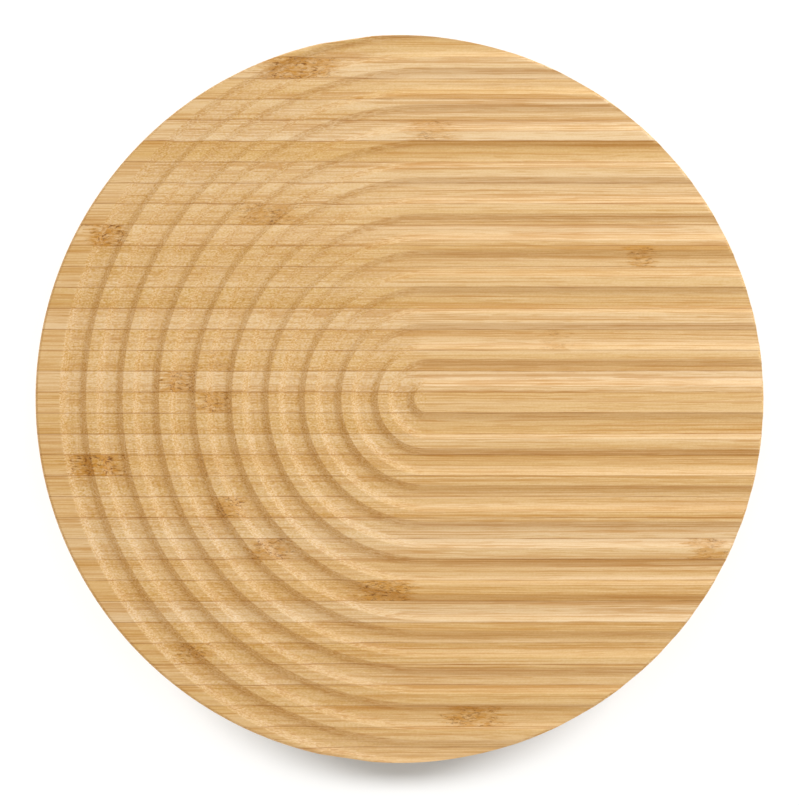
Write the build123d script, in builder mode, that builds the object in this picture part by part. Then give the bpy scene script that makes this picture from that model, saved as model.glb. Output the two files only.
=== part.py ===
"""Lazy susan turntable: a fluted bamboo board on a pressed-steel ball swivel and a footed bamboo base.

The frame, in millimetres: +Z is the spin axis, pointing up, and z = 0 is the table the feet stand on.
+X runs along the grain and along the straight flutes. The arcs of the flutes bow towards -X.
"""

import os
from math import radians, sqrt, tan

from build123d import *

# ---- driving dimensions ----
BOARD_DIAMETER = 350.0
BOARD_THICKNESS = 18.0
BASE_DIAMETER = 220.0
BASE_THICKNESS = 10.0
FOOT_HEIGHT = 5.0
BEARING_HEIGHT = 8.0
POCKET_DIAMETER = 144.0  # routed into the underside of the board, it hides half of the bearing
POCKET_DEPTH = 4.0
POCKET_CHAMFER = 0.5

# flutes: shallow channels that follow nested U lines around one spine
FLUTE_COUNT = 10
FLUTE_PITCH = 17.5
FLUTE_WIDTH = 12.7
FLUTE_DEPTH = 2.6
FLUTE_WALL_ANGLE = 39.0  # of the straight part of the wall, from the level
FLUTE_BEND = 4.2  # radius between wall and floor
FLUTE_EASE = 0.8  # sanded radius where a wall meets the land beside it
SPINE_X = 13.4  # centre of all the arcs, off the spin axis along the grain

# rims
BOARD_TOP_RADIUS = 2.0
BOARD_TOP_LINE = 0.1  # the top radius starts this far above the lands, so it meets them in a crisp line
BOARD_BOTTOM_RADIUS = 2.5
BASE_EDGE_RADIUS = 2.0

# ball swivel: two square pressings with a ball race in each
PLATE_SIDE = 102.0
PLATE_CORNER = 10.0
SHEET = 1.0
BEND_RADIUS = 0.5  # inside of the bends where the sheet steps from web to flange
BALL_COUNT = 20
BALL_DIAMETER = 4.76
BALL_CIRCLE_RADIUS = 36.0
RACE_CLEARANCE = 0.08
WEB_GAP = 1.8  # between the two webs, where the ball cage turns
STEP_RADIUS = 41.0
HUB_RADIUS = 28.0  # inside of the upper plate's hub, which passes through the lower plate
HUB_BEND = 0.8
LOWER_BORE_RADIUS = 30.0
RUNNING_GAP = 0.3
FLARE_WIDTH = 1.5  # the hub's end is rolled out over the retaining ring
FLARE_THICKNESS = 0.7
RING_RADIUS = 32.2
RING_THICKNESS = 0.8
RING_FIT = 0.1
CAGE_THICKNESS = 1.2
CAGE_WIDTH = 9.0
CAGE_EDGE = 0.3
CAGE_BALL_CLEARANCE = 0.12

# pan-head wood screws, one size everywhere
SCREW_LENGTH = 9.5
SCREW_RADIUS = 1.75
SCREW_CORE_RADIUS = 1.2
SCREW_NECK_RADIUS = 1.45
SCREW_NECK_LENGTH = 1.1
SCREW_TIP_LENGTH = 2.0
THREAD_PITCH = 1.3
HEAD_RADIUS = 3.4
HEAD_HEIGHT = 2.0
HEAD_SIDE = 0.7
RECESS_SPAN = 3.8
RECESS_WIDTH = 0.9
RECESS_DEPTH = 1.3
RECESS_TAPER = 8.0
PLATE_HOLE_RADIUS = 2.25
PLATE_HOLE_OFFSET = 44.0  # from the plate's middle, along both of its sides
PILOT_RADIUS = 1.25
PILOT_EXTRA_DEPTH = 0.3

# feet
FOOT_COUNT = 4
FOOT_CIRCLE_RADIUS = 94.0
FOOT_TOP_RADIUS = 9.0
FOOT_SOLE_RADIUS = 7.8
FOOT_EDGE_RADIUS = 0.7
FOOT_RECESS_RADIUS = 4.6
FOOT_RECESS_DEPTH = 3.6
FOOT_BORE_RADIUS = 1.9
FOOT_GROOVE_RADIUS = 5.9
FOOT_GROOVE_WIDTH = 0.8
FOOT_GROOVE_DEPTH = 0.6
WASHER_RADIUS = 4.4
WASHER_BORE_RADIUS = 2.0
WASHER_THICKNESS = 0.8

# hole in the base for the driver that reaches the board's screws
ACCESS_RADIUS = 7.0
ACCESS_ANGLE = 45.0
ACCESS_CHAMFER = 0.6

# ---- heights and radii that follow ----
BOARD_RADIUS = BOARD_DIAMETER / 2
BASE_RADIUS = BASE_DIAMETER / 2
BASE_BOTTOM = FOOT_HEIGHT
BASE_TOP = BASE_BOTTOM + BASE_THICKNESS
MID_PLANE = BASE_TOP + BEARING_HEIGHT / 2  # through the ball centres
POCKET_ROOF = BASE_TOP + BEARING_HEIGHT
BOARD_BOTTOM = POCKET_ROOF - POCKET_DEPTH
BOARD_TOP = BOARD_BOTTOM + BOARD_THICKNESS
BALL_RADIUS = BALL_DIAMETER / 2
WEB_HEIGHT = WEB_GAP / 2  # of the web's ball side, above or below the middle plane
FLANGE_HEIGHT = BEARING_HEIGHT / 2 - SHEET
SCREW_CIRCLE_RADIUS = PLATE_HOLE_OFFSET * sqrt(2)
PLATE_PILOT_DEPTH = SCREW_LENGTH - SHEET + PILOT_EXTRA_DEPTH
FOOT_SCREW_SEAT = FOOT_RECESS_DEPTH - WASHER_THICKNESS
FOOT_PILOT_DEPTH = SCREW_LENGTH + FOOT_SCREW_SEAT - FOOT_HEIGHT + PILOT_EXTRA_DEPTH
PLATE_REACH = PLATE_SIDE  # past the plate's corners
RELIEF_REACH = BOARD_RADIUS + SPINE_X + 5  # past the rim on every side
RELIEF_FLOOR = BOARD_BOTTOM - 5
UPWARD = (Align.CENTER, Align.CENTER, Align.MIN)


# ---- the fluted board ----
def flute_corners(centre):
    """The corners of one channel's section, land to floor to land, at a given distance from the spine."""
    wall_run = FLUTE_DEPTH / tan(radians(FLUTE_WALL_ANGLE))
    floor = BOARD_TOP - FLUTE_DEPTH
    edge = FLUTE_WIDTH / 2
    bottom = edge - wall_run
    return [
        (centre - edge, BOARD_TOP),
        (centre - bottom, floor),
        (centre + bottom, floor),
        (centre + edge, BOARD_TOP),
    ]


with BuildSketch(Plane.YZ.offset(SPINE_X)) as relief_section:
    with BuildLine():
        # the middle land is as wide as a channel, so the first channel lies one width out
        centres = [FLUTE_WIDTH + index * FLUTE_PITCH for index in range(FLUTE_COUNT)]
        corners = [corner for centre in centres for corner in flute_corners(centre)]
        radii = [FLUTE_EASE, FLUTE_BEND, FLUTE_BEND, FLUTE_EASE] * FLUTE_COUNT
        FilletPolyline((0, BOARD_TOP), *corners, (RELIEF_REACH, BOARD_TOP), radius=radii)
        Polyline(
            (RELIEF_REACH, BOARD_TOP), (RELIEF_REACH, RELIEF_FLOOR), (0, RELIEF_FLOOR), (0, BOARD_TOP)
        )
    make_face()

# a block that is larger than the board, with the flutes in its top: straight to +X, round at -X
with BuildPart() as relief:
    extrude(relief_section.sketch, amount=RELIEF_REACH)
    mirror(about=Plane.XZ)
    add(revolve(relief_section.sketch, Axis((SPINE_X, 0, 0), (0, 0, 1)), 180, mode=Mode.PRIVATE))

with BuildPart() as turntable_top:
    with Locations((0, 0, BOARD_BOTTOM)):
        Cylinder(BOARD_RADIUS, BOARD_THICKNESS + BOARD_TOP_LINE, align=UPWARD)
    fillet(turntable_top.edges().group_by(Axis.Z)[-1], BOARD_TOP_RADIUS)
    fillet(turntable_top.edges().group_by(Axis.Z)[0], BOARD_BOTTOM_RADIUS)
    add(relief.part, mode=Mode.INTERSECT)
    with Locations((0, 0, BOARD_BOTTOM)):
        Cylinder(POCKET_DIAMETER / 2, POCKET_DEPTH, align=UPWARD, mode=Mode.SUBTRACT)
    underside_rims = turntable_top.edges().filter_by(GeomType.CIRCLE).group_by(Axis.Z)[0]
    chamfer(underside_rims.sort_by(SortBy.RADIUS)[0], POCKET_CHAMFER)
    with Locations((0, 0, POCKET_ROOF)):
        with PolarLocations(SCREW_CIRCLE_RADIUS, 4, start_angle=45):
            Hole(PILOT_RADIUS, PLATE_PILOT_DEPTH)
turntable_top.part.label = "turntable_top"


# ---- the base ----
with BuildPart() as base_disc:
    with Locations((0, 0, BASE_BOTTOM)):
        Cylinder(BASE_RADIUS, BASE_THICKNESS, align=UPWARD)
    fillet(base_disc.edges().filter_by(GeomType.CIRCLE), BASE_EDGE_RADIUS)
    with PolarLocations(SCREW_CIRCLE_RADIUS, 1, start_angle=ACCESS_ANGLE):
        with Locations((0, 0, BASE_BOTTOM)):
            Cylinder(ACCESS_RADIUS, BASE_THICKNESS, align=UPWARD, mode=Mode.SUBTRACT)
    rims = base_disc.edges().filter_by(GeomType.CIRCLE)
    chamfer(rims.filter_by(lambda edge: edge.radius == ACCESS_RADIUS), ACCESS_CHAMFER)
    with Locations((0, 0, BASE_TOP)):
        with PolarLocations(SCREW_CIRCLE_RADIUS, 4):
            Hole(PILOT_RADIUS, PLATE_PILOT_DEPTH)
    with Locations((0, 0, BASE_BOTTOM)):
        with PolarLocations(FOOT_CIRCLE_RADIUS, FOOT_COUNT, start_angle=45):
            Hole(PILOT_RADIUS, FOOT_PILOT_DEPTH)
base_disc.part.label = "base_disc"


# ---- the ball swivel ----
def sheet_face(side, height, race_radius, start, bends):
    """One face of a pressed plate, from a start radius out over the ball race and the step to the flange.

    side is 1 for the upper plate and -1 for the lower one; heights count from the middle plane.
    """
    rise = FLANGE_HEIGHT - WEB_HEIGHT
    shift = (sqrt(2) - 1) * (height - WEB_HEIGHT)  # keeps the sheet's thickness on its 45 degree step
    web = MID_PLANE + side * height
    flange = web + side * rise
    half_race = sqrt(race_radius**2 - height**2)
    race_start = BALL_CIRCLE_RADIUS - half_race
    race_end = BALL_CIRCLE_RADIUS + half_race
    step = STEP_RADIUS - shift
    Line((start, web), (race_start, web))
    ThreePointArc((race_start, web), (BALL_CIRCLE_RADIUS, MID_PLANE + side * race_radius), (race_end, web))
    FilletPolyline((race_end, web), (step, web), (step + rise, flange), (PLATE_REACH, flange), radius=bends)
    return web, flange


def pressed_faces(side, start):
    """Both faces of a pressed plate and its far edge. Returns the heights of the web's two faces."""
    tight = BEND_RADIUS
    wide = BEND_RADIUS + SHEET
    race = BALL_RADIUS + RACE_CLEARANCE
    near_web, near_flange = sheet_face(side, WEB_HEIGHT, race, start, [wide, tight])
    far_web, far_flange = sheet_face(side, WEB_HEIGHT + SHEET, race + SHEET, start, [tight, wide])
    Line((PLATE_REACH, near_flange), (PLATE_REACH, far_flange))
    return near_web, far_web


def square_plate(angle):
    """Trims the current part to a square with round corners and drills its four screw holes."""
    with BuildSketch(Plane.XY.rotated((0, 0, angle))) as outline:
        RectangleRounded(PLATE_SIDE, PLATE_SIDE, PLATE_CORNER)
    extrude(outline.sketch, amount=BOARD_TOP, mode=Mode.INTERSECT)
    with Locations((0, 0, MID_PLANE)):
        with PolarLocations(SCREW_CIRCLE_RADIUS, 4, start_angle=angle + 45):
            Hole(PLATE_HOLE_RADIUS)


FLARE_BOTTOM = BASE_TOP + RUNNING_GAP
FLARE_TOP = FLARE_BOTTOM + FLARE_THICKNESS
HUB_OUTSIDE = HUB_RADIUS + SHEET

with BuildPart() as bearing_upper_plate:
    with BuildSketch(Plane.XZ):
        with BuildLine():
            bend_radius = HUB_OUTSIDE + HUB_BEND
            web_under, web_over = pressed_faces(1, bend_radius)
            bend_height = web_under - HUB_BEND
            CenterArc((bend_radius, bend_height), HUB_BEND, 90, 90)
            CenterArc((bend_radius, bend_height), HUB_BEND + SHEET, 90, 90)
            Polyline(
                (HUB_OUTSIDE, bend_height),
                (HUB_OUTSIDE, FLARE_TOP),
                (HUB_OUTSIDE + FLARE_WIDTH, FLARE_TOP),
                (HUB_OUTSIDE + FLARE_WIDTH, FLARE_BOTTOM),
                (HUB_OUTSIDE, FLARE_BOTTOM),
            )
            CenterArc((HUB_OUTSIDE, FLARE_BOTTOM + SHEET), SHEET, 180, 90)
            Line((HUB_RADIUS, FLARE_BOTTOM + SHEET), (HUB_RADIUS, bend_height))
        make_face()
    revolve(axis=Axis.Z)
    square_plate(0)
bearing_upper_plate.part.label = "bearing_upper_plate"

with BuildPart() as bearing_lower_plate:
    with BuildSketch(Plane.XZ):
        with BuildLine():
            web_over, web_under = pressed_faces(-1, LOWER_BORE_RADIUS)
            Line((LOWER_BORE_RADIUS, web_over), (LOWER_BORE_RADIUS, web_under))
        make_face()
    revolve(axis=Axis.Z)
    square_plate(45)
bearing_lower_plate.part.label = "bearing_lower_plate"

with BuildPart() as retaining_ring:
    with BuildSketch(Plane.XY.offset(FLARE_TOP)):
        Circle(RING_RADIUS)
        Circle(HUB_OUTSIDE + RING_FIT, mode=Mode.SUBTRACT)
    extrude(amount=RING_THICKNESS)
retaining_ring.part.label = "retaining_ring"

with BuildPart() as ball_cage:
    with BuildSketch(Plane.XY.offset(MID_PLANE - CAGE_THICKNESS / 2)):
        Circle(BALL_CIRCLE_RADIUS + CAGE_WIDTH / 2)
        Circle(BALL_CIRCLE_RADIUS - CAGE_WIDTH / 2, mode=Mode.SUBTRACT)
    extrude(amount=CAGE_THICKNESS)
    fillet(ball_cage.edges().filter_by(GeomType.CIRCLE), CAGE_EDGE)
    with Locations((0, 0, MID_PLANE)):
        with PolarLocations(BALL_CIRCLE_RADIUS, BALL_COUNT):
            Hole(BALL_RADIUS + CAGE_BALL_CLEARANCE)
ball_cage.part.label = "ball_cage"

balls = []
for number, place in enumerate(PolarLocations(BALL_CIRCLE_RADIUS, BALL_COUNT).local_locations, start=1):
    with BuildPart(Plane.XY.offset(MID_PLANE)) as ball:
        with Locations(place.position):
            Sphere(BALL_RADIUS)
    ball.part.label = f"ball_{number:02d}"
    balls.append(ball.part)


# ---- screws ----
# one screw, pointing down, with the underside of its head at z = 0; its thread is drawn as rings
with BuildPart() as pan_screw:
    with BuildSketch(Plane.XZ):
        with BuildLine():
            crown = HEAD_HEIGHT
            Line((0, crown), (SCREW_CORE_RADIUS, crown))
            TangentArc((SCREW_CORE_RADIUS, crown), (HEAD_RADIUS, HEAD_SIDE), tangent=(1, 0))
            Polyline((HEAD_RADIUS, HEAD_SIDE), (HEAD_RADIUS, 0), (SCREW_NECK_RADIUS, 0))
            thread_end = SCREW_LENGTH - SCREW_TIP_LENGTH
            ring_count = int((thread_end - SCREW_NECK_LENGTH) / THREAD_PITCH)
            outline = [(SCREW_NECK_RADIUS, 0), (SCREW_NECK_RADIUS, -SCREW_NECK_LENGTH)]
            for ring in range(ring_count):
                top = -SCREW_NECK_LENGTH - ring * THREAD_PITCH
                outline.append((SCREW_CORE_RADIUS, top - THREAD_PITCH * 0.25))
                outline.append((SCREW_RADIUS, top - THREAD_PITCH * 0.75))
                outline.append((SCREW_CORE_RADIUS, top - THREAD_PITCH))
            outline.append((SCREW_CORE_RADIUS, -thread_end))
            outline.append((0, -SCREW_LENGTH))
            Polyline(*outline)
            Line((0, -SCREW_LENGTH), (0, crown))
        make_face()
    revolve(axis=Axis.Z)
    with BuildSketch(Plane.XY.offset(HEAD_HEIGHT)):
        Rectangle(RECESS_SPAN, RECESS_WIDTH)
        Rectangle(RECESS_WIDTH, RECESS_SPAN)
    extrude(amount=-RECESS_DEPTH, taper=RECESS_TAPER, mode=Mode.SUBTRACT)


def screw_ring(plane, radius, start_angle):
    """Four screws in a ring, driven into the side that the plane faces away from."""
    with BuildPart(plane) as ring:
        with PolarLocations(radius, 4, start_angle=start_angle):
            add(pan_screw.part)
    return ring.part


FACING_DOWN = (0, 0, -1)
under_board = Plane((0, 0, POCKET_ROOF - SHEET), z_dir=FACING_DOWN)
under_foot = Plane((0, 0, FOOT_SCREW_SEAT), z_dir=FACING_DOWN)
upper_plate_screws = screw_ring(under_board, SCREW_CIRCLE_RADIUS, 45)
upper_plate_screws.label = "upper_plate_screws"
lower_plate_screws = screw_ring(Plane.XY.offset(BASE_TOP + SHEET), SCREW_CIRCLE_RADIUS, 0)
lower_plate_screws.label = "lower_plate_screws"
foot_screws = screw_ring(under_foot, FOOT_CIRCLE_RADIUS, 45)
foot_screws.label = "foot_screws"


# ---- feet ----
def rubber_foot(place, number):
    """A round foot that narrows to its sole, with a grip groove and a deep recess for the screw."""
    sole = Plane(place)
    with BuildPart(sole) as foot:
        Cone(FOOT_SOLE_RADIUS, FOOT_TOP_RADIUS, FOOT_HEIGHT, align=UPWARD)
        fillet(foot.edges().group_by(Axis.Z)[0], FOOT_EDGE_RADIUS)
        with BuildSketch(sole):
            Circle(FOOT_GROOVE_RADIUS + FOOT_GROOVE_WIDTH)
            Circle(FOOT_GROOVE_RADIUS, mode=Mode.SUBTRACT)
        extrude(amount=FOOT_GROOVE_DEPTH, mode=Mode.SUBTRACT)
        Cylinder(FOOT_RECESS_RADIUS, FOOT_RECESS_DEPTH, align=UPWARD, mode=Mode.SUBTRACT)
        Cylinder(FOOT_BORE_RADIUS, FOOT_HEIGHT, align=UPWARD, mode=Mode.SUBTRACT)
    foot.part.label = f"rubber_foot_{number}"
    return foot.part


def foot_washer(place, number):
    """The flat washer at the roof of a foot's recess."""
    with BuildPart(Plane(place).offset(FOOT_SCREW_SEAT)) as washer:
        Cylinder(WASHER_RADIUS, WASHER_THICKNESS, align=UPWARD)
        Cylinder(WASHER_BORE_RADIUS, WASHER_THICKNESS, align=UPWARD, mode=Mode.SUBTRACT)
    washer.part.label = f"foot_washer_{number}"
    return washer.part


foot_ring = PolarLocations(FOOT_CIRCLE_RADIUS, FOOT_COUNT, start_angle=45)
foot_places = [location.position for location in foot_ring.local_locations]
feet = [rubber_foot(place, number) for number, place in enumerate(foot_places, start=1)]
washers = [foot_washer(place, number) for number, place in enumerate(foot_places, start=1)]


# ---- files, one for each piece ----
os.makedirs("parts", exist_ok=True)
pieces = [
    turntable_top.part,
    base_disc.part,
    bearing_upper_plate.part,
    bearing_lower_plate.part,
    retaining_ring.part,
    ball_cage.part,
    upper_plate_screws,
    lower_plate_screws,
    foot_screws,
    *balls,
    *feet,
    *washers,
]
for piece in pieces:
    export_step(piece, f"parts/{piece.label}.step")
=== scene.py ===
"""The looks of the lazy susan turntable: fluted bamboo on a steel ball swivel, lit from the upper right."""

from math import acos, atan2, cos, hypot, pi, radians, sin, sqrt, tan

import bpy
import numpy as np
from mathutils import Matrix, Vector
from mathutils.geometry import delaunay_2d_cdt


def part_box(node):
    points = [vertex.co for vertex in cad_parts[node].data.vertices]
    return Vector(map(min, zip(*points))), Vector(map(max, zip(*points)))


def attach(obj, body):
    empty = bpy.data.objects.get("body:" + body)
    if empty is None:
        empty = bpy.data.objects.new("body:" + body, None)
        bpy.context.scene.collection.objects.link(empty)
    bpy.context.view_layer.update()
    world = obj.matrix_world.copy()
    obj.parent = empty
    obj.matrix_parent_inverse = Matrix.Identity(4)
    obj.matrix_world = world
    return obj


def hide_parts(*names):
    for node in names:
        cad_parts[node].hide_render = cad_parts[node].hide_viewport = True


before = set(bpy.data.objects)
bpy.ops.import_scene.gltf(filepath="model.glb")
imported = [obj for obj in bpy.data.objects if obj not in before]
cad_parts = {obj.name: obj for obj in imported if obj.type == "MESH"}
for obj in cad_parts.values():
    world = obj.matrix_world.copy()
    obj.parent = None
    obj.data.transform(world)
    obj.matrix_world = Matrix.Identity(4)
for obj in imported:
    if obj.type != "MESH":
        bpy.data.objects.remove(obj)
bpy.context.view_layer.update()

MM = 0.001

# ---- what the frame says ----
low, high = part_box("turntable_top")
BOARD_RADIUS = (high.x - low.x) / 2
BOARD_BOTTOM = low.z
BOARD_TOP = high.z

# ---- the board's relief, as the CAD board has it ----
FLUTE_COUNT = 10
FLUTE_PITCH = 17.5 * MM
FLUTE_WIDTH = 12.7 * MM
FLUTE_DEPTH = 2.6 * MM
FLUTE_WALL_ANGLE = radians(39.0)  # of the straight part of the wall, from the level
FLUTE_BEND = 4.2 * MM  # radius between wall and floor
FLUTE_EASE = 0.8 * MM  # radius where a wall meets the land beside it
SPINE_X = 13.4 * MM
RIM_RADIUS = 2.0 * MM  # rounding of the top edge
RIM_LINE = 0.1 * MM  # the rounding starts this far above the lands
UNDER_RADIUS = 2.5 * MM
POCKET_RADIUS = 72.0 * MM
POCKET_DEPTH = 4.0 * MM
POCKET_CHAMFER = 0.5 * MM
SCREW_CIRCLE = 44.0 * MM * sqrt(2)
PILOT_RADIUS = 1.25 * MM
PILOT_DEPTH = 8.8 * MM
PILOT_SIDES = 24
EDGE_STEPS = 10  # rows of faces over each rounded edge
CRESCENT_STEPS = 320  # points along the rim where no flute reaches it


# ---- meshes ----
def new_mesh(name, points, faces, smooth_angle=35.0):
    """A mesh object from points in metres and faces, smooth but for edges sharper than the angle."""
    mesh = bpy.data.meshes.new(name)
    mesh.from_pydata([tuple(p) for p in points], [], faces)
    mesh.validate()
    mesh.shade_smooth()
    mesh.set_sharp_from_angle(angle=radians(smooth_angle))
    obj = bpy.data.objects.new(name, mesh)
    bpy.context.scene.collection.objects.link(obj)
    return obj


class Surface:
    """Points and faces gathered piece by piece; points that coincide are shared."""

    def __init__(self):
        self.points = []
        self.faces = []
        self.known = {}

    def point(self, x, y, z):
        key = (round(x, 8), round(y, 8), round(z, 8))
        if key not in self.known:
            self.known[key] = len(self.points)
            self.points.append((x, y, z))
        return self.known[key]

    def face(self, *corners):
        distinct = list(dict.fromkeys(corners))
        if len(distinct) > 2:
            self.faces.append(distinct)

    def bridge(self, first, second):
        """Quads between two rows of points with the same number of points."""
        for a, b, c, d in zip(first, first[1:], second[1:], second):
            self.face(a, b, c, d)


def flute_profile(bend_steps=10, ease_steps=6):
    """(distance from the flute's centre, depth below the land), from one land to the other."""
    edge = FLUTE_WIDTH / 2
    bottom = edge - FLUTE_DEPTH / tan(FLUTE_WALL_ANGLE)
    half_floor = bottom - FLUTE_BEND * tan(FLUTE_WALL_ANGLE / 2)
    land_start = edge + FLUTE_EASE * tan(FLUTE_WALL_ANGLE / 2)
    half = [(0.0, FLUTE_DEPTH), (half_floor / 2, FLUTE_DEPTH)]
    for step in range(bend_steps + 1):
        angle = FLUTE_WALL_ANGLE * step / bend_steps
        half.append((half_floor + FLUTE_BEND * sin(angle), FLUTE_DEPTH - FLUTE_BEND * (1 - cos(angle))))
    for step in range(ease_steps + 1):
        angle = FLUTE_WALL_ANGLE * (1 - step / ease_steps)
        half.append((land_start - FLUTE_EASE * sin(angle), FLUTE_EASE * (1 - cos(angle))))
    return [(-run, depth) for run, depth in half[:0:-1]] + half


def relief_rows():
    """(distance from the spine, depth) of every row of points across the board, from the spine outwards."""
    profile = flute_profile()
    first = FLUTE_WIDTH
    rows = [(0.0, 0.0), (first / 4, 0.0)]
    for index in range(FLUTE_COUNT):
        centre = first + index * FLUTE_PITCH
        start = centre + profile[0][0]
        rows.append(((rows[-1][0] + start) / 2, 0.0))
        rows += [(centre + run, depth) for run, depth in profile]
    rows.append((rows[-1][0] + 0.4 * MM, 0.0))
    return rows


ROWS = relief_rows()
ROW_DISTANCES = [row[0] for row in ROWS]
ROW_DEPTHS = [row[1] for row in ROWS]


def relief_height(x, y):
    """Height of the fluted face over a point, the rim's rounding left out."""
    distance = abs(y) if x > SPINE_X else hypot(x - SPINE_X, y)
    return BOARD_TOP - float(np.interp(distance, ROW_DISTANCES, ROW_DEPTHS))


def row_points(distance, reach, straight_steps=48, arc_steps=240):
    """Points along one flute line, from where it meets the circle of radius reach at +Y round to -Y."""
    if hypot(SPINE_X, distance) <= reach:
        end_x = sqrt(reach**2 - distance**2)
        start_angle = pi / 2
    else:
        end_x = SPINE_X
        cosine = (reach**2 - SPINE_X**2 - distance**2) / (2 * SPINE_X * distance)
        start_angle = acos(cosine)
    straight = [end_x + (SPINE_X - end_x) * step / straight_steps for step in range(straight_steps)]
    if end_x == SPINE_X:
        straight = []
    angles = [start_angle + (2 * pi - 2 * start_angle) * step / arc_steps for step in range(arc_steps + 1)]
    arc = [(SPINE_X + distance * cos(angle), distance * sin(angle)) for angle in angles]
    ahead = [(x, distance) for x in straight] or [arc[0]] * straight_steps
    behind = [(x, -distance) for x in reversed(straight)] or [arc[-1]] * straight_steps
    return ahead + arc + behind


def build_board():
    """The fluted board as one closed mesh whose rows of points follow the flutes."""
    board = Surface()
    inner = BOARD_RADIUS - RIM_RADIUS
    rows = []
    for distance, depth in ROWS:
        rows.append([board.point(x, y, BOARD_TOP - depth) for x, y in row_points(distance, inner)])
    for first, second in zip(rows, rows[1:]):
        board.bridge(first, second)

    # the ends of the rows lie on one circle; the left part of it gets points of its own
    upper_ends = [row[0] for row in rows]
    lower_ends = [row[-1] for row in rows]
    last = board.points[upper_ends[-1]]
    open_angle = atan2(last[1], last[0])
    open_share = 2 * (pi - open_angle) / CRESCENT_STEPS
    open_side = [open_angle + open_share * step for step in range(1, CRESCENT_STEPS)]
    crescent = [board.point(inner * cos(a), inner * sin(a), BOARD_TOP) for a in open_side]
    circle = upper_ends + crescent + lower_ends[:0:-1]
    fill_crescent(board, rows[-1], [upper_ends[-1]] + crescent + [lower_ends[-1]])
    angles = [atan2(board.points[i][1], board.points[i][0]) for i in circle]

    def ring(radius, height):
        """A closed ring of points under the circle; height is a number or a function of the place."""
        made = []
        for angle in angles:
            x, y = radius * cos(angle), radius * sin(angle)
            z = height(x, y) if callable(height) else height
            made.append(board.point(x, y, z))
        return made

    rings = [circle]
    rounding_centre = BOARD_TOP + RIM_LINE - RIM_RADIUS
    for step in range(1, EDGE_STEPS + 1):
        turn = pi / 2 * step / EDGE_STEPS
        radius = inner + RIM_RADIUS * sin(turn)
        rim_height = rounding_centre + RIM_RADIUS * cos(turn)
        rings.append(ring(radius, lambda x, y: min(relief_height(x, y), rim_height)))
    for share in (0.33, 0.67):
        side_height = rounding_centre + (BOARD_BOTTOM + UNDER_RADIUS - rounding_centre) * share
        rings.append(ring(BOARD_RADIUS, side_height))
    for step in range(EDGE_STEPS + 1):
        turn = pi / 2 * step / EDGE_STEPS
        radius = BOARD_RADIUS - UNDER_RADIUS * (1 - cos(turn))
        rings.append(ring(radius, BOARD_BOTTOM + UNDER_RADIUS * (1 - sin(turn))))
    rings.append(ring((BOARD_RADIUS + POCKET_RADIUS) / 2, BOARD_BOTTOM))
    rings.append(ring(POCKET_RADIUS + POCKET_CHAMFER, BOARD_BOTTOM))
    rings.append(ring(POCKET_RADIUS, BOARD_BOTTOM + POCKET_CHAMFER))
    rings.append(ring(POCKET_RADIUS, BOARD_BOTTOM + POCKET_DEPTH))
    for first, second in zip(rings, rings[1:]):
        board.bridge(first + first[:1], second + second[:1])
    return board, rings[-1]


def fill_crescent(surface, row, rim):
    """Triangles over the flat land between the last flute line and the rim, both running the same way."""
    def turn(index):
        x, y, z = surface.points[index]
        return atan2(y, x) % (2 * pi)

    beyond = 3 * pi  # more than any turn, for a line that has come to its end
    near, far = 0, 0
    while near < len(row) - 1 or far < len(rim) - 1:
        near_next = turn(row[near + 1]) if near < len(row) - 1 else beyond
        far_next = turn(rim[far + 1]) if far < len(rim) - 1 else beyond
        if near_next < far_next:
            surface.face(row[near], row[near + 1], rim[far])
            near += 1
        else:
            surface.face(row[near], rim[far + 1], rim[far])
            far += 1


def cap_pocket(board, roof_ring):
    """The pocket's roof, a flat face with the four pilot holes of the swivel's screws."""
    roof = BOARD_BOTTOM + POCKET_DEPTH
    outline = [Vector(board.points[i][:2]) for i in roof_ring]
    edges = [(i, (i + 1) % len(outline)) for i in range(len(outline))]
    for quarter in range(4):
        turn = radians(45 + 90 * quarter)
        middle = Vector((SCREW_CIRCLE * cos(turn), SCREW_CIRCLE * sin(turn)))
        start = len(outline)
        for side in range(PILOT_SIDES):
            angle = 2 * pi * side / PILOT_SIDES
            outline.append(middle + PILOT_RADIUS * Vector((cos(angle), sin(angle))))
            edges.append((start + side, start + (side + 1) % PILOT_SIDES))
        rim = [board.point(p.x, p.y, roof) for p in outline[start:]]
        tip = [board.point(p.x, p.y, roof + PILOT_DEPTH) for p in outline[start:]]
        board.bridge(rim + rim[:1], tip + tip[:1])
        board.face(*tip)
    corners, _, triangles, *_ = delaunay_2d_cdt(outline, edges, [], 1, 1e-7)
    for triangle in triangles:
        middle = sum((corners[i] for i in triangle), Vector((0, 0))) / 3
        quarter = Vector((abs(middle.x), abs(middle.y)))
        if (quarter - Vector((1, 1)) * SCREW_CIRCLE / sqrt(2)).length > PILOT_RADIUS:
            board.face(*[board.point(corners[i].x, corners[i].y, roof) for i in reversed(triangle)])


# ---- shader graphs ----
def srgb(red, green, blue):
    """A screen colour, 0 to 255, as the linear colour that shaders take."""
    channels = []
    for value in (red, green, blue):
        share = value / 255
        channels.append(share / 12.92 if share <= 0.04045 else ((share + 0.055) / 1.055) ** 2.4)
    return (*channels, 1.0)


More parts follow.
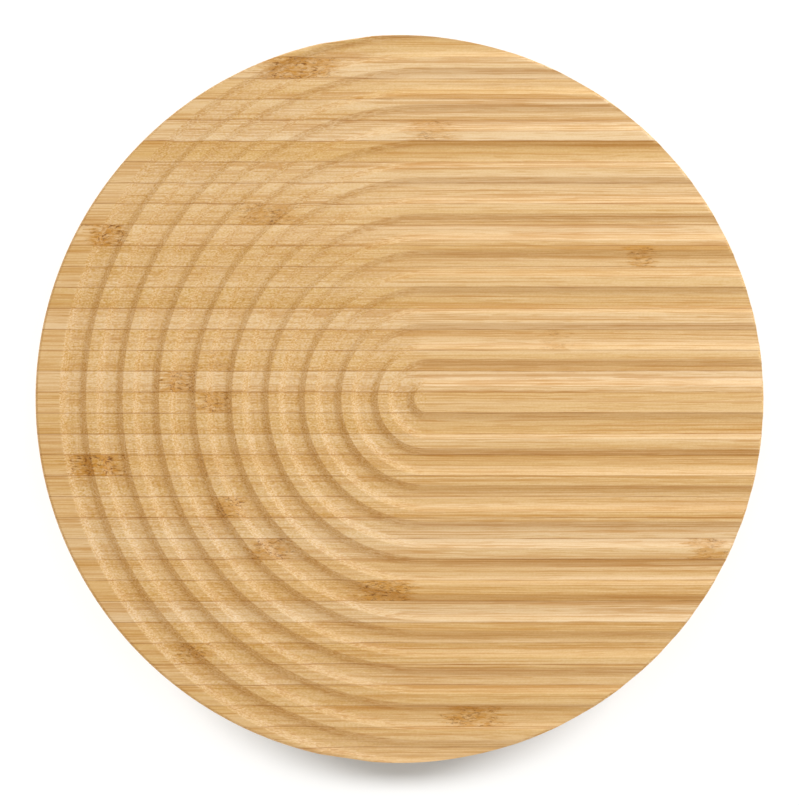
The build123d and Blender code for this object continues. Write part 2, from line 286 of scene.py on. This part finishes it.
class Graph:
    """A material and short ways to add nodes to it.

    Arguments are numbers, vectors or other nodes' sockets.
    """

    def __init__(self, name):
        self.material = bpy.data.materials.new(name)
        self.material.use_nodes = True
        self.nodes = self.material.node_tree.nodes
        self.links = self.material.node_tree.links
        self.nodes.clear()
        self.shader = self.nodes.new("ShaderNodeBsdfPrincipled")
        output = self.nodes.new("ShaderNodeOutputMaterial")
        self.links.new(self.shader.outputs[0], output.inputs[0])
        self.place = self.nodes.new("ShaderNodeTexCoord")

    def plug(self, socket, value):
        if isinstance(value, bpy.types.NodeSocket):
            self.links.new(value, socket)
        else:
            socket.default_value = value

    def node(self, kind, *inputs, **settings):
        made = self.nodes.new(kind)
        for key, value in settings.items():
            setattr(made, key, value)
        for index, value in enumerate(inputs):
            self.plug(made.inputs[index], value)
        return made

    def math(self, operation, *inputs):
        return self.node("ShaderNodeMath", *inputs, operation=operation).outputs[0]

    def add(self, *terms):
        total = terms[0]
        for term in terms[1:]:
            total = self.math("ADD", total, term)
        return total

    def times(self, first, second):
        return self.math("MULTIPLY", first, second)

    def vector(self, operation, *inputs, output=0):
        return self.node("ShaderNodeVectorMath", *inputs, operation=operation).outputs[output]

    def combine(self, x=0.0, y=0.0, z=0.0):
        return self.node("ShaderNodeCombineXYZ", x, y, z).outputs[0]

    def split(self, vector):
        return self.node("ShaderNodeSeparateXYZ", vector).outputs[:3]

    def noise(self, vector, scale=1.0, detail=2.0, roughness=0.5, distortion=0.0):
        made = self.node("ShaderNodeTexNoise", noise_dimensions="3D")
        self.plug(made.inputs["Vector"], vector)
        self.plug(made.inputs["Scale"], scale)
        self.plug(made.inputs["Detail"], detail)
        self.plug(made.inputs["Roughness"], roughness)
        self.plug(made.inputs["Distortion"], distortion)
        return made.outputs["Fac"]

    def cells(self, vector):
        """Distance to the nearest of many scattered points, about one in each unit cube."""
        made = self.node("ShaderNodeTexVoronoi", voronoi_dimensions="3D", feature="F1")
        self.plug(made.inputs["Vector"], vector)
        self.plug(made.inputs["Scale"], 1.0)
        return made.outputs["Distance"]

    def random(self, number):
        made = self.node("ShaderNodeTexWhiteNoise", noise_dimensions="1D")
        self.plug(made.inputs["W"], number)
        return made.outputs["Value"]

    def remap(self, value, low, high, to_low=0.0, to_high=1.0, smooth=False):
        made = self.node("ShaderNodeMapRange", value, low, high, to_low, to_high)
        made.interpolation_type = "SMOOTHSTEP" if smooth else "LINEAR"
        return made.outputs[0]

    def ramp(self, value, *stops):
        made = self.node("ShaderNodeValToRGB", value)
        ramp = made.color_ramp
        ramp.interpolation = "B_SPLINE" if len(stops) > 6 else "LINEAR"
        while len(ramp.elements) < len(stops):
            ramp.elements.new(0.5)
        for element, (position, colour) in zip(ramp.elements, stops):
            element.position = position
            element.color = colour
        return made.outputs[0]

    def mix(self, factor, first, second, blend="MIX"):
        made = self.node("ShaderNodeMix", data_type="RGBA", blend_type=blend)
        self.plug(made.inputs["Factor"], factor)
        self.plug(made.inputs[6], first)
        self.plug(made.inputs[7], second)
        return made.outputs[2]

    def bump(self, height, distance, strength):
        made = self.node("ShaderNodeBump")
        self.plug(made.inputs["Strength"], strength)
        self.plug(made.inputs["Distance"], distance)
        self.plug(made.inputs["Height"], height)
        return made.outputs[0]

    def swing(self, value, amount):
        """A value between 0 and 1 as a deviation of this amount about nothing."""
        return self.times(self.add(value, -0.5), amount)

    def millimetres(self):
        """Where a point lies on its object, in millimetres."""
        return self.vector("MULTIPLY", self.place.outputs["Object"], (1000.0, 1000.0, 1000.0))

    def scaled(self, point, grain_scale, cross_scale):
        """A point (x, y, z) as a texture's place, scaled along the grain and across it."""
        first, second, third = point
        return self.combine(
            self.times(first, grain_scale), self.times(second, cross_scale), self.times(third, cross_scale)
        )


# ---- bamboo ----
# the shader counts in millimetres
STRIP = 10.05  # width of a strip
STRIP_START = 3.3  # where the edge of the first strip beyond the middle lies
STRIPS_APART = 1000.0  # more than any mark's length, so that a mark stays inside its strip
OWN_SHIFT = 4000.0  # the most that a strip's fibres are shifted along the grain, against its neighbours'
SPINE = SPINE_X / MM
FACE = BOARD_TOP / MM
EDGE = BOARD_RADIUS / MM
LAST_FLUTE = ((FLUTE_COUNT - 1) * FLUTE_PITCH + FLUTE_WIDTH * 1.5) / MM  # its outer edge, from the spine

# from the darkest fibres to the palest
BAMBOO_TONES = (
    (0.0, srgb(160, 104, 27)),
    (0.22, srgb(193, 143, 58)),
    (0.4, srgb(212, 167, 92)),
    (0.55, srgb(224, 185, 125)),
    (0.68, srgb(232, 197, 146)),
    (0.82, srgb(237, 206, 162)),
    (1.0, srgb(241, 215, 175)),
)
WARMER = srgb(255, 244, 226)
COOLER = srgb(250, 246, 240)
PALE_FIBRE = srgb(246, 223, 184)
HAIR_BROWN = srgb(196, 138, 58)
LINE_BROWN = srgb(188, 122, 32)
BUNDLE_BROWN = srgb(182, 118, 38)
CUT_END_AND_SHADE_BROWN = srgb(178, 140, 82)
CROSSED_TAN = srgb(212, 160, 82)
GLUE_BROWN = srgb(168, 108, 42)
MARK_TAN = srgb(198, 136, 44)
FLECK_BROWN = srgb(136, 82, 8)
DENSE_BROWN = srgb(122, 68, 8)
EDGE_SHADE_BROWN = srgb(190, 136, 78)

# marks that the stem's joints leave: (x, y, length along the grain, darkness), in millimetres
JOINT_MARKS = (
    (-48, 161, 34, 1.0),
    (15, 129, 20, 0.5),
    (-62, 88, 26, 0.65),
    (-141, 79, 15, 1.1),
    (116, 71, 13, 0.8),
    (-107, 10, 16, 0.9),
    (-89, 21, 14, 0.35),
    (-89, -2, 15, 0.8),
    (-146, -32, 22, 1.2),
    (75, 31, 12, 0.4),
    (-92, -28, 14, 0.3),
    (-83, -49, 13, 0.85),
    (-89, -62, 15, 0.3),
    (-62, -70, 18, 0.8),
    (-7, -89, 26, 1.0),
    (-98, -123, 14, 0.75),
    (36, -150, 24, 0.9),
    (147, -77, 14, 0.65),
)


def inside_marks(g, point, strip, marks):
    """How far a point is inside a mark of the stem's joints, each held inside its strip."""
    fray = g.noise(g.scaled(point, 0.07, 1.1))
    spot = g.combine(g.add(point[0], g.swing(fray, 30.0)), g.times(strip, STRIPS_APART))
    mark = 0.0
    for mark_x, mark_y, length, darkness in marks:
        home = (float(mark_x), STRIPS_APART * ((mark_y - STRIP_START) // STRIP), 0.0)
        away = g.vector("DISTANCE", spot, home, output=1)
        this_mark = g.remap(away, length * 0.7, length * 0.3, 0.0, darkness, smooth=True)
        mark = g.math("MAXIMUM", mark, this_mark)
    return mark


def cutter_traces(g, point, fluted):
    """What a cutter that crossed the grain left, as five values.

    crossing: how squarely the flutes' direction crosses the grain here; among: the same, but nothing
    outside the last flute; opened: the same, but only down in the flutes; the fourth: how many fibre ends
    the cutter opened show, weighted up as painted shade on the flute wall that faces away from the spine;
    tool_lines: fine lines along the flutes.
    """
    x, y, z = point
    normal_x, normal_y, normal_z = g.split(g.place.outputs["Normal"])
    ends = g.remap(g.math("ABSOLUTE", normal_x), 0.04, 0.4, smooth=True)
    cut_ends_and_shade = g.times(ends, g.remap(g.math("ABSOLUTE", normal_z), 0.3, 0.7))
    if not fluted:
        return 0.5, 0.5, 0.0, cut_ends_and_shade, 0.5
    behind = g.math("MINIMUM", g.add(x, -SPINE), 0.0)
    from_spine = g.vector("LENGTH", g.combine(behind, y), output=1)
    crossing = g.math("DIVIDE", g.math("ABSOLUTE", behind), from_spine)
    among = g.times(crossing, g.remap(from_spine, LAST_FLUTE - 0.5, LAST_FLUTE + 1.0, 1.0, 0.0))
    opened = g.times(crossing, g.remap(g.math("SUBTRACT", FACE, z), 0.15, 1.1))
    facing = g.math("DIVIDE", g.add(g.times(normal_x, behind), g.times(normal_y, y)), from_spine)
    # painted shade: the fibre-end stipple and brown count for more on the flute wall that faces away from the
    # spine, which on the board's left and lower left is the wall in shade
    outward_wall_shade = g.remap(facing, -0.15, 0.2, 0.55, 0.92)
    cut_ends_and_shade = g.times(outward_wall_shade, g.math("MAXIMUM", cut_ends_and_shade, g.times(opened, 0.3)))
    tool_lines = g.noise(g.scaled((from_spine, x, y), 1.3, 0.06))
    return crossing, among, opened, cut_ends_and_shade, tool_lines


def bamboo(name, marks, seed, fluted):
    """Oiled caramel bamboo: strips glued side by side, with fibres that run through the solid along X."""
    g = Graph(name)
    place = g.millimetres()
    x, y, z = g.split(place)

    # the strip that a point is in, and where in it; the strips stand a little out of square
    wobble = g.swing(g.noise(g.combine(g.times(x, 0.012), g.times(y, 0.05), seed)), 0.6)
    lean = g.swing(g.noise(g.combine(seed, g.times(y, 0.04), 9.0)), g.times(g.add(z, -FACE), 0.2))
    across = g.math("DIVIDE", g.add(y, wobble, lean, -STRIP_START), STRIP)
    strip = g.math("FLOOR", across)
    inside = g.math("FRACT", across)
    to_edge = g.times(g.math("MINIMUM", inside, g.math("SUBTRACT", 1.0, inside)), STRIP)

    # draws of a strip's own: the factors and offsets only keep them apart
    own = g.random(g.add(g.times(strip, 3.17), seed))
    own_tone = g.random(g.add(g.times(strip, 7.31), seed + 40.0))
    own_hue = g.random(g.add(g.times(strip, 1.93), seed + 80.0))

    point = (x, y, z)
    mark = inside_marks(g, point, strip, marks)

    # fibres drift a little across the strip on their way, and bend around the marks
    drift_place = g.combine(g.add(g.times(x, 0.004), g.times(own, 90.0)), g.times(y, 0.05), g.times(z, 0.05))
    drift = g.swing(g.noise(drift_place, detail=1.0), 4.0)
    ripple = g.noise(g.scaled(point, 0.03, 0.12), detail=1.0)
    drift = g.add(drift, g.swing(ripple, 0.25))
    swirl = g.noise(g.scaled(point, 0.22, 0.3), detail=1.0)
    drift = g.add(drift, g.times(g.swing(swirl, 2.6), mark))
    along = g.add(x, g.times(own, OWN_SHIFT))
    side = g.add(y, drift)
    deep = g.add(z, g.times(own_tone, 300.0))
    fibre = (along, side, deep)

    def sized(length, width):
        """The place in the fibres, counted in features of this length along the grain and width across it."""
        return g.combine(
            g.math("DIVIDE", along, length), g.math("DIVIDE", side, width), g.math("DIVIDE", deep, width)
        )

    def streak(length, width, detail, roughness=0.55):
        return g.noise(sized(length, width), detail=detail, roughness=roughness)

    broad = streak(380.0, 3.4, 1.0)
    medium = streak(190.0, 1.2, 2.0)
    fine = streak(60.0, 0.42, 2.0, 0.65)
    pale = g.remap(streak(150.0, 0.75, 1.0), 0.6, 0.72, smooth=True)
    grit = g.noise(g.scaled(fibre, 0.9, 1.5), detail=1.0)

    # bundles of dark fibre, which crowd towards the side of the strip that was the stem's skin
    skin = g.math("ABSOLUTE", g.math("SUBTRACT", inside, g.math("ROUND", own)))
    from_bundle = g.add(g.cells(sized(260.0, 0.85)), g.times(skin, -0.24))
    bundle = g.remap(from_bundle, 0.1, 0.18, 1.0, 0.0, smooth=True)
    gusts = g.noise(g.scaled(fibre, 0.025, 0.3), detail=1.0)
    crowd = g.add(g.swing(skin, 0.12), g.swing(gusts, 0.3))
    lines = g.remap(g.add(streak(160.0, 0.75, 0.0), crowd), 0.59, 0.635, smooth=True)
    hairs = g.remap(g.add(streak(14.0, 0.36, 0.0), crowd), 0.57, 0.62, smooth=True)

    crossing, among, opened, cut_ends_and_shade, tool_lines = cutter_traces(g, point, fluted)
    pores = g.noise(g.vector("MULTIPLY", place, (1.1, 2.3, 1.1)), detail=1.0)
    stipple = g.remap(pores, 0.42, 0.7, smooth=True)

    tone = g.add(
        0.64,
        g.swing(broad, 0.24),
        g.swing(medium, 0.12),
        g.swing(fine, 0.28),
        g.swing(grit, g.add(0.2, g.times(among, 0.85))),
        g.swing(own_tone, 0.2),
        g.swing(skin, -0.08),
        # painted shade, in part: this stipple darkening follows the fibre-end mask and its weighting onto the
        # wall in shade
        g.times(g.times(g.add(stipple, -0.2), -0.3), cut_ends_and_shade),
        g.times(g.swing(tool_lines, 0.4), opened),
    )
    colour = g.ramp(tone, *BAMBOO_TONES)
    warm = g.ramp(own_hue, (0.0, WARMER), (1.0, COOLER))
    colour = g.mix(0.5, colour, g.mix(1.0, colour, warm, "MULTIPLY"))
    colour = g.mix(g.times(pale, 0.1), colour, PALE_FIBRE)
    colour = g.mix(g.times(hairs, g.add(0.38, g.times(among, -0.16))), colour, HAIR_BROWN)
    colour = g.mix(g.times(lines, g.add(0.42, g.times(among, -0.16))), colour, LINE_BROWN)
    colour = g.mix(g.times(bundle, 0.38), colour, BUNDLE_BROWN)
    # the fibre ends' brown, partly painted shade on the wall that faces away from the spine
    colour = g.mix(g.times(cut_ends_and_shade, 0.16), colour, CUT_END_AND_SHADE_BROWN)
    colour = g.mix(g.times(crossing, 0.08), colour, CROSSED_TAN)

    # glue lines, thin and broken
    gaps = g.noise(g.combine(g.times(x, 0.045), g.times(strip, 7.7), seed), detail=3.0)
    glue_shows = g.add(
        0.2,
        g.times(g.remap(gaps, 0.4, 0.66), 0.55),
        g.times(mark, 0.3),
        g.times(crossing, 0.12),
    )
    glue = g.times(g.remap(to_edge, 0.12, 0.4, 1.0, 0.0, smooth=True), glue_shows)
    colour = g.mix(glue, colour, GLUE_BROWN)

    # the marks' own colour: a tan tint, with dark flecks of dense fibre
    flecks = g.noise(g.scaled(fibre, 0.34, 1.2), detail=3.0, roughness=0.75)
    flecks = g.remap(flecks, 0.5, 0.62, smooth=True)
    blotches = g.noise(g.scaled(fibre, 0.16, 0.35), detail=1.0)
    flecks = g.times(flecks, g.remap(blotches, 0.38, 0.6, 0.3, 1.2))
    mottle = g.noise(g.scaled(fibre, 0.22, 0.7), detail=3.0, roughness=0.7)
    colour = g.mix(g.times(mark, g.remap(mottle, 0.36, 0.62, 0.15, 0.95)), colour, MARK_TAN)
    colour = g.mix(g.times(g.times(mark, flecks), 0.75), colour, FLECK_BROWN)
    # the dense flecks follow the fibre-end mask, so they also carry its painted shade on the wall that faces
    # away from the spine
    dense = g.times(g.times(mark, cut_ends_and_shade), g.add(0.1, g.times(flecks, 0.6)))
    colour = g.mix(dense, colour, DENSE_BROWN)

    # painted shade: the rounded top edge is darkened towards brown, so that it looks less lit than the key
    # light makes it
    edge = g.remap(g.vector("LENGTH", g.combine(x, y), output=1), EDGE - 1.6, EDGE - 0.6, smooth=True)
    colour = g.mix(g.times(edge, 0.1), colour, EDGE_SHADE_BROWN)

    height = g.add(
        g.times(medium, 0.5),
        g.times(fine, 0.8),
        g.times(glue, -0.8),
        g.times(g.times(mark, flecks), -0.4),
        g.times(g.times(cut_ends_and_shade, stipple), -0.3),
        g.times(g.times(opened, tool_lines), 0.5),
    )
    g.plug(g.shader.inputs["Base Color"], colour)
    g.plug(g.shader.inputs["Roughness"], g.add(0.44, g.times(fine, 0.16), g.times(cut_ends_and_shade, 0.12)))
    g.plug(g.shader.inputs["Normal"], g.bump(height, 0.00014, 0.7))
    g.shader.inputs["IOR"].default_value = 1.45
    return g.material


# ---- metal, nylon and rubber ----
def plated_steel(name, tint, roughness, grain):
    """Zinc-plated sheet or wire: cloudy crystals, faint rolling lines and handling scratches."""
    g = Graph(name)
    place = g.millimetres()
    clouds = g.noise(place, scale=0.16, detail=3.0)
    crystals = g.noise(place, scale=1.1, detail=2.0, roughness=0.7)
    rolled = g.noise(g.vector("MULTIPLY", place, (0.05, grain, 1.2)), detail=3.0, roughness=0.7)
    scratches = g.noise(g.vector("MULTIPLY", place, (2.3, 0.12, 0.6)), detail=1.0, distortion=0.8)
    scratches = g.remap(scratches, 0.66, 0.72)
    shade = g.add(g.times(clouds, 0.5), g.times(crystals, 0.3), g.times(rolled, 0.2))
    dull = [channel * 0.80 for channel in tint]
    bluish = [tint[0] * 0.97, tint[1] * 1.0, min(1.0, tint[2] * 1.05)]
    colour = g.ramp(shade, (0.25, (*dull, 1.0)), (0.5, (*tint, 1.0)), (0.75, (*bluish, 1.0)))
    g.plug(g.shader.inputs["Base Color"], colour)
    rough = g.add(roughness - 0.1, g.times(crystals, 0.12), g.times(rolled, 0.12), g.times(scratches, 0.1))
    g.plug(g.shader.inputs["Roughness"], rough)
    height = g.add(g.times(rolled, 0.6), g.times(crystals, 0.3), g.times(scratches, -0.5))
    g.plug(g.shader.inputs["Normal"], g.bump(height, 0.00003, 0.5))
    g.shader.inputs["Metallic"].default_value = 1.0
    return g.material


def ball_steel():
    """Hardened balls, polished, with the fine haze that rolling in grease leaves."""
    g = Graph("polished_ball_steel")
    place = g.millimetres()
    haze = g.noise(place, scale=2.6, detail=3.0, roughness=0.7)
    colour = g.ramp(haze, (0.3, (0.66, 0.66, 0.67, 1.0)), (0.7, (0.80, 0.80, 0.81, 1.0)))
    g.plug(g.shader.inputs["Base Color"], colour)
    g.plug(g.shader.inputs["Roughness"], g.remap(haze, 0.3, 0.7, 0.1, 0.2))
    g.plug(g.shader.inputs["Normal"], g.bump(haze, 0.000004, 0.5))
    g.shader.inputs["Metallic"].default_value = 1.0
    return g.material


def nylon():
    """Natural moulded nylon: off-white, slightly cloudy, with a fine spark-eroded texture."""
    g = Graph("moulded_nylon")
    place = g.millimetres()
    clouds = g.noise(place, scale=0.12, detail=2.0)
    texture = g.noise(place, scale=5.0, detail=2.0)
    colour = g.ramp(clouds, (0.3, srgb(226, 220, 200)), (0.7, srgb(240, 237, 224)))
    g.plug(g.shader.inputs["Base Color"], colour)
    g.plug(g.shader.inputs["Roughness"], g.add(0.38, g.times(texture, 0.2)))
    g.plug(g.shader.inputs["Normal"], g.bump(texture, 0.00002, 0.5))
    g.shader.inputs["IOR"].default_value = 1.53
    return g.material


def rubber():
    """Matt black moulded rubber, greyer where dust holds in patches, most of all on the sole."""
    g = Graph("moulded_rubber")
    place = g.millimetres()
    grain = g.noise(place, scale=4.0, detail=3.0, roughness=0.65)
    patches = g.noise(place, scale=0.35, detail=3.0)
    dust = g.times(g.remap(g.split(place)[2], 0.0, 1.6, 1.0, 0.15), g.remap(patches, 0.42, 0.66))
    colour = g.ramp(grain, (0.3, srgb(34, 34, 35)), (0.7, srgb(48, 47, 47)))
    colour = g.mix(g.times(dust, 0.35), colour, srgb(118, 112, 104))
    g.plug(g.shader.inputs["Base Color"], colour)
    g.plug(g.shader.inputs["Roughness"], g.add(0.62, g.times(grain, 0.2), g.times(dust, 0.12)))
    g.plug(g.shader.inputs["Normal"], g.bump(grain, 0.00005, 0.6))
    g.shader.inputs["Sheen Weight"].default_value = 0.08
    return g.material


# ---- the pieces ----
def dress(obj, body, slot, material, *replaced):
    """A finished piece: its material, the body that it rides on and the CAD nodes that it stands for."""
    obj.data.materials.clear()
    obj.data.materials.append(material)
    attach(obj, body)
    if replaced:
        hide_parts(*replaced)
    return obj


def paint(material, *starts):
    """Gives a material to every CAD node whose name starts with one of the words."""
    for name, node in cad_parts.items():
        if name.startswith(starts):
            node.data.materials.clear()
            node.data.materials.append(material)


board_surface, roof_ring = build_board()
cap_pocket(board_surface, roof_ring)
board = new_mesh("fluted_board", board_surface.points, board_surface.faces)
board_bamboo = bamboo("oiled_bamboo_board", JOINT_MARKS, seed=3.0, fluted=True)
dress(board, "turntable", "bamboo_board", board_bamboo, "turntable_top")

paint(bamboo("oiled_bamboo_base", (), seed=17.0, fluted=False), "base_disc")
paint(plated_steel("zinc_plate", (0.70, 0.71, 0.72), 0.36, 1.6), "bearing_", "retaining_")
paint(plated_steel("zinc_screw", (0.68, 0.68, 0.66), 0.30, 3.0), "upper_plate_", "lower_plate_", "foot_")
paint(ball_steel(), "ball_")
paint(nylon(), "ball_cage")
paint(rubber(), "rubber_")


# ---- stage ----
def floor():
    """A plain white table under the feet."""
    reach = 3.0
    square = [(-reach, -reach, 0), (reach, -reach, 0), (reach, reach, 0), (-reach, reach, 0)]
    mesh = bpy.data.meshes.new("floor")
    mesh.from_pydata(square, [], [(0, 1, 2, 3)])
    obj = bpy.data.objects.new("floor", mesh)
    bpy.context.scene.collection.objects.link(obj)
    g = Graph("floor_white")
    g.shader.inputs["Base Color"].default_value = (0.67, 0.72, 0.79, 1.0)
    g.shader.inputs["Roughness"].default_value = 0.9
    mesh.materials.append(g.material)
    return obj


def area_light(name, azimuth, elevation, distance, size, power, colour):
    """A soft light that faces the board; azimuth 0 is at +X and 90 at +Y."""
    data = bpy.data.lights.new(name, "AREA")
    data.shape = "RECTANGLE"
    data.size, data.size_y = size
    data.energy = power
    data.color = colour
    obj = bpy.data.objects.new(name, data)
    turn, rise = radians(azimuth), radians(elevation)
    away = Vector((cos(turn) * cos(rise), sin(turn) * cos(rise), sin(rise)))
    obj.location = Vector((0, 0, BOARD_TOP)) + away * distance
    obj.rotation_euler = away.to_track_quat("Z", "Y").to_euler()
    obj.visible_camera = False
    bpy.context.scene.collection.objects.link(obj)
    return obj


def group(name, *members):
    made = bpy.data.collections.new(name)
    for member in members:
        made.objects.link(member)
    return made


def lights(table):
    """A soft, cool key from the upper right for the board, and a low light of its own for the table."""
    key = area_light(
        "key",
        azimuth=45,
        elevation=30.5,
        distance=1.35,
        size=(0.42, 0.42),
        power=14.4,
        colour=(0.63, 0.78, 1.0),
    )
    spared = group("not_the_table", table)
    key.light_linking.receiver_collection = spared
    spared.collection_objects[0].light_linking.link_state = "EXCLUDE"

    low_light = area_light(
        "table_light",
        azimuth=90,
        elevation=10.25,
        distance=12.0,
        size=(6.9, 0.25),
        power=7200.0,
        colour=(1.0, 0.94, 0.87),
    )
    low_light.light_linking.receiver_collection = group("the_table", table)
    low_light.light_linking.blocker_collection = group("what_shades_the_table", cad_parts["base_disc"])


def sky():
    """A warm white surround, brightest at the horizon, as in a light tent."""
    horizon = (1.1, 1.08, 1.04, 1.0)
    zenith = (0.62, 0.56, 0.465, 1.0)
    world = bpy.data.worlds.new("studio")
    world.use_nodes = True
    nodes, links = world.node_tree.nodes, world.node_tree.links
    direction = nodes.new("ShaderNodeTexCoord").outputs["Generated"]
    height = nodes.new("ShaderNodeSeparateXYZ")
    links.new(direction, height.inputs[0])
    ramp = nodes.new("ShaderNodeValToRGB")
    ramp.color_ramp.elements[0].color = horizon
    ramp.color_ramp.elements[1].color = zenith
    links.new(height.outputs["Z"], ramp.inputs[0])
    links.new(ramp.outputs[0], nodes["Background"].inputs["Color"])
    bpy.context.scene.world = world
    bpy.context.scene.view_settings.view_transform = "Standard"


def camera():
    """Straight above the board, as far off as fills the picture with it."""
    data = bpy.data.cameras.new("camera")
    data.lens = 100.0
    data.sensor_width = 36.0
    data.clip_end = 20.0
    disc_share = 0.903  # the board's diameter over the picture's height
    raised_share = 0.005  # the board's middle sits this much above the picture's middle
    picture_height = BOARD_RADIUS * 2 / disc_share
    distance = picture_height * data.lens / data.sensor_width
    widest = BOARD_TOP - RIM_RADIUS
    lift = picture_height * raised_share
    obj = bpy.data.objects.new("camera", data)
    obj.location = (0.0, -lift, widest + distance)
    bpy.context.scene.collection.objects.link(obj)
    bpy.context.scene.camera = obj


lights(floor())
sky()
camera()


def corners(box):
    return [list(corner) for corner in box]
